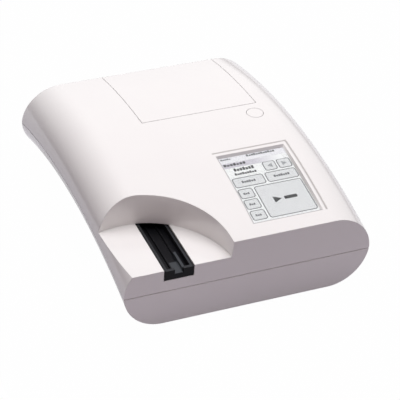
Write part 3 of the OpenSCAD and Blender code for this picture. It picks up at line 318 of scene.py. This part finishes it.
def board(name):
    """Glass-epoxy board under green solder mask: copper tracks lift the mask into lighter lines."""
    material, tree, place = start(name)
    # Tracks are 0.3 mm wide, a coarse routing that still shows from a step away
    tracks = add(tree, "TexBrick", {
        "Vector": place, "Scale": 1 / (TRACK_PITCH * MM),
        "Color1": srgb("#14573a"), "Color2": srgb("#176143"), "Mortar": srgb("#2f8a5c"),
        "Mortar Size": 0.06, "Brick Width": 3.0, "Row Height": 1.0,
    }, offset=0.35)
    bump = add(tree, "Bump", {
        "Strength": 0.4, "Distance": 0.035 * MM, "Height": tracks.outputs["Fac"],
    })
    shader = add(tree, "BsdfPrincipled", {
        "Base Color": tracks.outputs["Color"], "Roughness": 0.28, "IOR": 1.5,
        "Normal": bump.outputs[0],
    })
    add(tree, "OutputMaterial", {"Surface": shader.outputs[0]})
    return material


def striped(name, colour, line, pitch, roughness):
    """Flat cable: parallel conductors, a pitch apart across X, show through the film."""
    material, tree, place = start(name)
    waves = add(tree, "TexWave", {
        "Vector": place, "Scale": WAVE / (pitch * MM),
    }, bands_direction="X")
    tint = add(tree, "Mix", {
        SHARE: waves.outputs["Fac"], FIRST: srgb(colour), SECOND: srgb(line),
    }, data_type="RGBA")
    bump = add(tree, "Bump", {
        "Strength": 0.5, "Distance": 0.05 * MM, "Height": waves.outputs["Fac"],
    })
    shader = add(tree, "BsdfPrincipled", {
        "Base Color": tint.outputs[MIXED], "Roughness": roughness, "IOR": 1.5,
        "Normal": bump.outputs[0],
    })
    add(tree, "OutputMaterial", {"Surface": shader.outputs[0]})
    return material


def wound_paper(name, node):
    """Thermal paper on a roll: coated and smooth outside, with its turns as rings on the ends."""
    material, tree, place = start(name)
    low, high = (Vector(corner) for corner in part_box(node))
    # Turns of 0.06 mm paper are too fine to show, so a ring is drawn for every 8 of them
    centred = add(tree, "Mapping", {"Vector": place, "Location": -(low + high) / 2})
    rings = add(tree, "TexWave", {
        "Vector": centred.outputs[0], "Scale": WAVE / (RING_PITCH * MM),
        "Distortion": 0.6, "Detail": 1,
    }, wave_type="RINGS", rings_direction="X")
    fibres = add(tree, "TexNoise", {"Vector": place, "Scale": 1 / (FIBRE_SIZE * MM), "Detail": 3})
    tint = add(tree, "Mix", {
        SHARE: rings.outputs["Fac"], FIRST: srgb("#f3f1ea"), SECOND: srgb("#e4e1d8"),
    }, data_type="RGBA")
    bump = add(tree, "Bump", {
        "Strength": 0.3, "Distance": 0.03 * MM, "Height": fibres.outputs[0],
    })
    shader = add(tree, "BsdfPrincipled", {
        "Base Color": tint.outputs[MIXED], "Roughness": 0.6, "IOR": 1.5, "Normal": bump.outputs[0],
    })
    add(tree, "OutputMaterial", {"Surface": shader.outputs[0]})
    return material


def backlit(name, colour, fade=None):
    """Colour of an LCD: its dots let the backlight through, and dark lines part them.

    It can fade to another colour between two places across the screen, in mm.
    """
    material, tree, place = start(name)
    dots = add(tree, "TexBrick", {
        "Vector": place, "Scale": 1 / (DOT_PITCH * MM),
        "Color1": srgb(colour), "Color2": srgb(colour), "Mortar": srgb("#3c3e42"),
        "Mortar Size": 0.02, "Brick Width": 1.0, "Row Height": 1.0,
    }, offset=0.0)
    light = dots.outputs["Color"]
    if fade:
        far_colour, near, far = fade
        across = add(tree, "SeparateXYZ", {0: place})
        part = add(tree, "MapRange", {
            "Value": across.outputs[0], "From Min": near * MM, "From Max": far * MM,
        })
        light = add(tree, "Mix", {
            SHARE: part.outputs[0], FIRST: light, SECOND: srgb(far_colour),
        }, data_type="RGBA").outputs[MIXED]
    shader = add(tree, "BsdfPrincipled", {
        "Base Color": srgb("#000000"), "Roughness": 0.5, "Specular IOR Level": 0.0,
        "Emission Color": light, "Emission Strength": 1.0,
    })
    add(tree, "OutputMaterial", {"Surface": shader.outputs[0]})
    return material


FINISHES = {
    # Covers, lid and button: injection-moulded ABS from a polished tool, glossy enough for the
    # ground to show in the rounded sides
    "shell_white": moulded(
        "polished_white_abs", "#f5f3f0", "#f2efed",
        roughness=0.18, grain=0.8, depth=0.002, edge=0.5, coat=0.5,
    ),
    # Drawer: black ABS from a finely eroded tool, satin and almost without reflections. Its rim
    # tops carry a painted sheen, a lighter colour that stands in for the reflection of the bright
    # room
    "tray_black": moulded(
        "satin_black_abs", "#161619", "#19191c",
        roughness=0.3, grain=0.7, depth=0.006, edge=0.25, ior=1.2,
        painted_rim_sheen=("strip_tray", "#36373a"),
    ),
    # Insert that guides the strip: dark grey ABS from a smoother tool, easy to wipe
    "channel_grey": moulded(
        "smooth_grey_abs", "#3b3e42", "#404347",
        roughness=0.30, grain=0.7, depth=0.008, edge=0.15, ior=1.3,
    ),
    # White reference for the reading head: sintered PTFE, dull and even
    "reference_white": moulded(
        "sintered_ptfe", "#f4f4f1", "#efefec", roughness=0.75, grain=0.25, depth=0.01, ior=1.38,
    ),
    # Touch panel: hard-coated glass, clear with faint finger smears
    "touch_glass": clear("hard_coated_glass", "#fbfcfc", roughness=0.05, ior=1.5, smear=14),
    # Display gasket: die-cut closed-cell foam, dull black with open cells at its cut edge
    "gasket_black": moulded(
        "cut_foam_rubber", "#18191b", "#222326", roughness=0.9, grain=0.3, depth=0.08, ior=1.5,
    ),
    # LCD behind the picture: polariser film on glass, nearly black when unlit
    "lcd": moulded(
        "polariser_film", "#23262a", "#26292d", roughness=0.18, grain=6.0, depth=0.001, ior=1.49,
    ),
    # Pressed and turned steel parts: zinc plated, bright with fine rolling lines
    "steel": metal("zinc_plated_steel", "#b9bcc0", roughness=0.30, line=0.3, along="X"),
    # Guides and switch bodies: black glass-filled nylon, dull from its fibres
    "dark_plastic": moulded(
        "glass_filled_nylon", "#26282b", "#2d2f33", roughness=0.5, grain=0.4, depth=0.02, edge=0.2,
    ),
    # Switch plunger: red acetal, waxy
    "plunger_red": moulded(
        "red_acetal", "#b3261f", "#a8211b", roughness=0.35, grain=0.5, depth=0.005, ior=1.48,
    ),
    # Circuit boards: glass epoxy under glossy green solder mask
    "board_green": board("green_solder_mask"),
    # Chips and buzzer: transfer-moulded epoxy, matt black
    "chip_black": moulded(
        "moulded_epoxy", "#17181a", "#1d1e21", roughness=0.6, grain=0.3, depth=0.02,
    ),
    # Pin headers: cream nylon, half matt
    "header_cream": moulded(
        "cream_nylon", "#ded6bf", "#d6cdb4", roughness=0.45, grain=0.5, depth=0.01,
    ),
    # Display ribbon: copper conductors under amber polyimide film, glossy
    "ribbon": striped("polyimide_film", "#b9853c", line="#d8a95a", pitch=0.5, roughness=0.25),
    # Rear ribbon: grey PVC with a rib over each wire
    "ribbon_grey": striped("ribbed_pvc", "#9a9ea4", line="#aeb2b7", pitch=1.27, roughness=0.5),
    # Gears and rack: natural acetal, off-white and waxy
    "gear_white": moulded(
        "natural_acetal", "#e6e2d6", "#dfdacd", roughness=0.36, grain=0.6, depth=0.006, ior=1.48,
    ),
    # Reading head: black polycarbonate, grained so that it scatters no light
    "optics_black": moulded(
        "grained_black_polycarbonate", "#101113", "#151618",
        roughness=0.7, grain=0.35, depth=0.03, ior=1.58,
    ),
    # Lens: pressed and polished crown glass
    "lens_glass": clear("polished_crown_glass", "#f7fbff", roughness=0.02, ior=1.52, smear=5),
    # Lamps of the reading head: cast clear epoxy
    "led_clear": clear("cast_clear_epoxy", "#f4f7fb", roughness=0.08, ior=1.55, smear=2),
    # Print head: bead-blasted aluminium carrier, dull silver
    "head_grey": metal("bead_blasted_aluminium", "#a9acb0", roughness=0.48, line=0.25, along="X"),
    # Platen roller: ground nitrile rubber, dark and dull with a fine grain
    "roller_rubber": moulded(
        "ground_nitrile_rubber", "#232427", "#2a2b2f",
        roughness=0.8, grain=0.2, depth=0.02, ior=1.52,
    ),
    # Bushings: turned brass
    "bushing_brass": metal("turned_brass", "#c7a257", roughness=0.26, line=0.2, along="X"),
    # Paper well: light grey ABS, satin
    "well_grey": moulded(
        "satin_grey_abs", "#cfcfcd", "#c8c8c6", roughness=0.42, grain=0.7, depth=0.012, edge=0.3,
    ),
    # Paper spindle: grey ABS, satin
    "spindle_grey": moulded(
        "satin_dark_grey_abs", "#767a80", "#6f7378",
        roughness=0.42, grain=0.7, depth=0.012, edge=0.2,
    ),
    # Paper roll: calendered thermal paper
    "paper": wound_paper("calendered_thermal_paper", "paper_roll"),
    # Adapter inlet: black PBT, half matt
    "socket_black": moulded(
        "black_pbt", "#141517", "#191a1c",
        roughness=0.45, grain=0.5, depth=0.01, edge=0.15, ior=1.55,
    ),
    # USB sockets: stamped steel shells with bright nickel plating
    "socket_metal": metal("nickel_plated_steel", "#c2c1bd", roughness=0.2, line=0.25, along="Y"),
    # Feet: moulded silicone rubber, soft black
    "foot_rubber": moulded(
        "moulded_silicone_rubber", "#1e1f21", "#242527",
        roughness=0.7, grain=0.5, depth=0.03, edge=0.3, ior=1.41,
    ),
}


def dress_nodes():
    """Gives each CAD node the finish of its slot in the record."""
    for part in frame["record"]["subparts"]:
        mesh = nodes[part["node"]].data
        mesh.materials.clear()
        mesh.materials.append(FINISHES[part["material_slot"]])


FLAT_WITHIN = 0.01 * MM


def screen_place():
    """Frame of the LCD's upper face, taken from its solid."""
    mesh = nodes["lcd_panel"].data
    top = max(mesh.polygons, key=lambda face: face.normal.z * face.area)
    out = top.normal.normalized()
    right = Vector((1, 0, 0))
    back = out.cross(right)
    level = top.center.dot(out)
    corners = [v.co for v in mesh.vertices if abs(v.co.dot(out) - level) < FLAT_WITHIN]
    middle = out * level
    for axis in (right, back):
        reach = [corner.dot(axis) for corner in corners]
        middle += axis * (min(reach) + max(reach)) / 2
    turn = Matrix((right, back, out)).transposed().to_4x4()
    return Matrix.Translation(middle) @ turn


SCREEN = screen_place()


def finish_piece(name, build, finishes, place):
    """Turns a built mesh into a piece of the base, at its place and with its finishes."""
    mesh = bpy.data.meshes.new(name)
    build.to_mesh(mesh)
    build.free()
    for finish in finishes:
        mesh.materials.append(finish)
    piece = bpy.data.objects.new(name, mesh)
    piece.matrix_world = place
    scene.collection.objects.link(piece)
    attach(piece, "base")


# Screen: its picture lies on the LCD, in mm from the middle, x to the right and y to the rear
SCREEN_HALF_W = 21.35
SCREEN_HALF_L = 27.95
# Lower and upper level of each layer of the picture
GROUND = (0.0, 0.06)
ON_GROUND = (0.06, 0.09)
ON_FIELD = (0.09, 0.12)
KEY_FACE = (0.09, 0.12)
ON_KEY = (0.12, 0.15)
# Fields and keys, each from its left front corner to its right rear corner
PAGE = (-SCREEN_HALF_W, -SCREEN_HALF_L, SCREEN_HALF_W, 22.3)
STATUS_BAR = (-SCREEN_HALF_W, 22.4, SCREEN_HALF_W, SCREEN_HALF_L)
HEADING = (-SCREEN_HALF_W, 18.2, 17.5, 22.2)
HEADING_FADE = ("#fbfbfc", 0, 16)
FIELD = (-20.4, 10.8, 2.0, 18.0)
ARROW_KEYS = [(3.3, 10.9, 11.2, 18.4), (12.2, 10.9, 20.5, 18.4)]
WIDE_KEYS = [(-19.1, 1.9, 0.1, 9.75), (1.25, 1.9, 20.65, 9.75)]
SMALL_KEYS = [
    (-19.4, -7.1, -10.4, 0.65), (-19.4, -15.9, -10.4, -8.1), (-19.4, -24.75, -10.4, -17.0),
]
START_KEY = (-9.15, -24.85, 20.5, 0.65)
PLATE_CORNER = 0.2
FIELD_CORNER = 0.4
KEY_CORNER = 1.6
KEY_EDGE = 0.5
# Rows of bars, each with its two corners and its count
STATUS_ROWS = [(-19.2, 25.0, -12.8, 26.2, 5), (-3.0, 25.0, 15.0, 26.6, 12)]
WIDE_KEY_ROWS = [(-14.0, 5.0, -5.3, 6.8, 6), (6.0, 5.0, 16.0, 6.8, 7)]
FIELD_ROWS = [
    (-19.2, 19.8, -5.3, 21.7, 7), (-14.7, 15.0, -2.0, 17.5, 7), (-15.5, 11.8, -1.8, 13.6, 9),
]
SMALL_KEY_BARS = 3
SMALL_KEY_MARGIN = 2.6
SMALL_KEY_HALF = 0.8
# A bar's heights in turn, its width and its corner, as shares of the row's height and pitch
BAR_HEIGHTS = (1.0, 0.72, 0.86)
BAR_WIDTH = 0.78
BAR_CORNER = 0.12
# Arrows: how far the tip and the foot stand from the key's middle, and half of the foot
ARROW_TIP = 1.7
ARROW_FOOT = 1.5
ARROW_HALF = 1.7
START_ARROW = [(-1.6, -14.4), (3.2, -11.9), (-1.6, -9.4)]
START_BAR = (4.8, -13.1, 12.8, -10.7)


def rounded(x0, y0, x1, y1, corner, steps=6):
    """Outline of a rectangle with rounded corners."""
    outline = []
    for x, y, turn in (
        (x1 - corner, y1 - corner, 0), (x0 + corner, y1 - corner, 90),
        (x0 + corner, y0 + corner, 180), (x1 - corner, y0 + corner, 270),
    ):
        for step in range(steps + 1):
            angle = math.radians(turn + 90 * step / steps)
            outline.append((x + corner * math.cos(angle), y + corner * math.sin(angle)))
    return outline


def words(rows, levels):
    """Rows of short bars in place of printed words, as on a blank layout."""
    bars = []
    for x0, y0, x1, y1, count in rows:
        pitch = (x1 - x0) / count
        for i in range(count):
            left = x0 + pitch * i
            rear = y0 + (y1 - y0) * BAR_HEIGHTS[i % len(BAR_HEIGHTS)]
            outline = rounded(left, y0, left + BAR_WIDTH * pitch, rear, BAR_CORNER * pitch, steps=2)
            bars.append((outline, levels))
    return bars


def screen_piece(name, plates, colour):
    """One picture element: flat plates, each an outline with its levels, lit in one colour."""
    build = bmesh.new()
    for outline, (low, high) in plates:
        under = [build.verts.new((x * MM, y * MM, low * MM)) for x, y in outline]
        upper = [build.verts.new((x * MM, y * MM, high * MM)) for x, y in outline]
        build.faces.new(under[::-1])
        build.faces.new(upper)
        for i in range(len(outline)):
            j = (i + 1) % len(outline)
            build.faces.new((under[i], under[j], upper[j], upper[i]))
    finish_piece(name, build, [colour], SCREEN)


def make_screen():
    """The lit picture: fields, keys, and bars and arrows in place of words."""
    keys = ARROW_KEYS + WIDE_KEYS + SMALL_KEYS + [START_KEY]
    paper_white = backlit("lcd_white", "#fbfbfc")
    grey_ink = backlit("lcd_grey", "#54565a")
    dark_ink = backlit("lcd_dark", "#1d1d21")
    pale_lavender = backlit("lcd_lavender_white", "#f8f6fb")
    lavender = backlit("lcd_lavender", "#d9d4de", fade=HEADING_FADE)
    for name, field, levels, colour in (
        ("screen_ground", PAGE, GROUND, paper_white),
        ("screen_status_bar", STATUS_BAR, GROUND, pale_lavender),
        ("screen_heading", HEADING, ON_GROUND, lavender),
    ):
        screen_piece(name, [(rounded(*field, PLATE_CORNER, steps=2), levels)], colour)
    screen_piece("screen_field", [
        (rounded(*FIELD, FIELD_CORNER, steps=3), ON_GROUND),
    ], backlit("lcd_bright", "#ffffff"))
    screen_piece("screen_key_edges", [
        (rounded(*key, KEY_CORNER), ON_GROUND) for key in keys
    ], grey_ink)
    screen_piece("screen_keys", [
        (rounded(x0 + KEY_EDGE, y0 + KEY_EDGE, x1 - KEY_EDGE, y1 - KEY_EDGE, KEY_CORNER - KEY_EDGE),
         KEY_FACE)
        for x0, y0, x1, y1 in keys
    ], backlit("lcd_key_grey", "#e8e8ea"))

    small_key_rows = []
    for x0, y0, x1, y1 in SMALL_KEYS:
        middle = (y0 + y1) / 2
        small_key_rows.append((
            x0 + SMALL_KEY_MARGIN, middle - SMALL_KEY_HALF,
            x1 - SMALL_KEY_MARGIN, middle + SMALL_KEY_HALF, SMALL_KEY_BARS,
        ))
    marks = words(STATUS_ROWS, ON_GROUND) + words(WIDE_KEY_ROWS + small_key_rows, ON_KEY)
    screen_piece("screen_small_marks", marks, grey_ink)

    arrows = []
    for (x0, y0, x1, y1), way in zip(ARROW_KEYS, (-1, 1)):
        x, y = (x0 + x1) / 2, (y0 + y1) / 2
        foot = x - way * ARROW_FOOT
        arrows.append(([
            (x + way * ARROW_TIP, y), (foot, y + way * ARROW_HALF), (foot, y - way * ARROW_HALF),
        ], ON_KEY))
    screen_piece("screen_arrows", arrows, backlit("lcd_mid_grey", "#a3a5a8"))

    bold = words(FIELD_ROWS, ON_FIELD)
    bold.append((START_ARROW, ON_KEY))
    bold.append((rounded(*START_BAR, FIELD_CORNER, steps=3), ON_KEY))
    screen_piece("screen_bold_marks", bold, dark_ink)


# Grey line behind and beside the screen, printed in a shallow groove of the cover, in mm from the
# screen's middle
LINE_W = 0.9
LINE_T = 0.26
LINE_LEFT = -22.5
LINE_RIGHT = 23.9
LINE_REAR = 30.8
LINE_FRONT = -27.9
LINE_ROWS = 24
PROBE_HEIGHT = 20


def surface_below(node):
    """Gives the height of a node's surface, in the screen's frame, under a point in mm."""
    mesh = nodes[node].data
    faces = [tuple(face.vertices) for face in mesh.polygons]
    tree = BVHTree.FromPolygons([v.co for v in mesh.vertices], faces)
    down = SCREEN.to_3x3() @ Vector((0, 0, -1))
    back = SCREEN.inverted()

    def height(x, y):
        probe = SCREEN @ (Vector((x, y, PROBE_HEIGHT)) * MM)
        return (back @ tree.ray_cast(probe, down)[0]).z / MM

    return height


def loft(build, rings, finish=0):
    """Joins a row of rings into a closed bar, with the finish of one index."""
    sides = [
        (a[i], a[i - 1], b[i - 1], b[i]) for a, b in zip(rings, rings[1:]) for i in range(len(a))
    ]
    for corners in sides + [rings[0], rings[-1]]:
        build.faces.new(corners).material_index = finish


def make_line():
    """Two flat bands on the groove's floor: one behind the screen, one along its right side."""
    cover = surface_below("top_cover")
    turn = SCREEN.to_3x3()
    right, back, up = (turn @ Vector(axis) for axis in ((1, 0, 0), (0, 1, 0), (0, 0, 1)))
    rear_end = LINE_REAR + LINE_W / 2
    side_length = LINE_FRONT - rear_end
    rear_middles = [(x, LINE_REAR) for x in (LINE_LEFT, LINE_RIGHT - LINE_W / 2)]
    side_middles = [
        (LINE_RIGHT, rear_end + side_length * i / LINE_ROWS) for i in range(LINE_ROWS + 1)
    ]
    build = bmesh.new()
    for middles, side in ((rear_middles, back), (side_middles, right)):
        rings = []
        for x, y in middles:
            floor = SCREEN @ (Vector((x, y, cover(x, y))) * MM)
            rings.append([
                build.verts.new(floor + side * (across * LINE_W * MM) + up * (rise * LINE_T * MM))
                for across, rise in ((-0.5, 0), (0.5, 0), (0.5, 1), (-0.5, 1))
            ])
        loft(build, rings)
    bmesh.ops.recalc_face_normals(build, faces=build.faces[:])
    # Pad-printed ink: flat grey with the slight mottle of a soft pad
    ink = moulded("pad_printed_ink", "#c6c2bf", "#bfbbb8", roughness=0.5, grain=0.4, depth=0.004)
    finish_piece("cover_line", build, [ink], Matrix())


# Thin trim that lines the window, from the touch panel up to the cover's surface, in mm: grey, its
# wide rear strip partly a painted shade band, and white at the right as painted light on a shaded
# wall
WINDOW_HALF_W = 21.4
WINDOW_HALF_L = 28.0
REAR, RIGHT, FRONT, LEFT = (0, 1), (1, 0), (0, -1), (-1, 0)
# The rear strip is wide so that its grey also stands in for the shade band along the rear wall
TRIM_W = {REAR: 1.6, RIGHT: 0.8, FRONT: 0.5, LEFT: 0.5}
# Painted light: the right strip is white so that the wall there, which lies in shade, reads lit
TRIM_PAINTED_LIGHT_SIDE = RIGHT
TRIM_FOOT = 0.15
TRIM_PLAY = 0.03
TRIM_ROWS = 24
# The cover's height is taken this far outside the window
TRIM_PROBE = 0.4


def make_trim():
    """Four mitred strips: the rear and right ones slope down to the panel, the others are level."""
    floor = surface_below("touch_panel")(0, 0) + TRIM_PLAY
    cover = surface_below("top_cover")
    half = (WINDOW_HALF_W - TRIM_PLAY, WINDOW_HALF_L - TRIM_PLAY)
    build = bmesh.new()
    for side, width in TRIM_W.items():
        out_x, out_y = side
        out = Vector((out_x, out_y, 0))
        along = 1 if out_x else 0
        start_inset, end_inset = (TRIM_W[(0, end) if out_x else (end, 0)] for end in (-1, 1))
        inner_length = 2 * half[along] - start_inset - end_inset
        rings = []
        for i in range(TRIM_ROWS + 1):
            outer = Vector((out_x * half[0], out_y * half[1], 0))
            outer[along] = (-1 + 2 * i / TRIM_ROWS) * half[along]
            inner = outer - out * width
            inner[along] = start_inset - half[along] + inner_length * i / TRIM_ROWS
            probe = outer + out * TRIM_PROBE
            top = cover(probe.x, probe.y) - TRIM_PLAY
            lip = floor + TRIM_FOOT if side in (REAR, RIGHT) else top
            spots = ((outer, floor), (outer, top), (inner, lip), (inner, floor))
            rings.append([build.verts.new(Vector((p.x, p.y, z)) * MM) for p, z in spots])
        loft(build, rings, finish=int(side == TRIM_PAINTED_LIGHT_SIDE))
    bmesh.ops.recalc_face_normals(build, faces=build.faces[:])
    # Soft PVC bezel strip: extruded and dull, grey on three sides (at the rear also painted shade)
    # and white on the right as painted light
    grey = moulded("grey_pvc_and_painted_shade", "#bdbabb", "#b6b3b4", roughness=0.55, grain=0.5, depth=0.01)
    white = moulded(
        "white_pvc_as_painted_light", "#f3f1ee", "#efedea", roughness=0.55, grain=0.5, depth=0.01,
    )
    finish_piece("window_trim", build, [grey, white], SCREEN)


make_camera()
make_lamps()
make_room()
make_sheet()
dress_nodes()
make_screen()
make_line()
make_trim()
scene.view_settings.view_transform = "Standard"
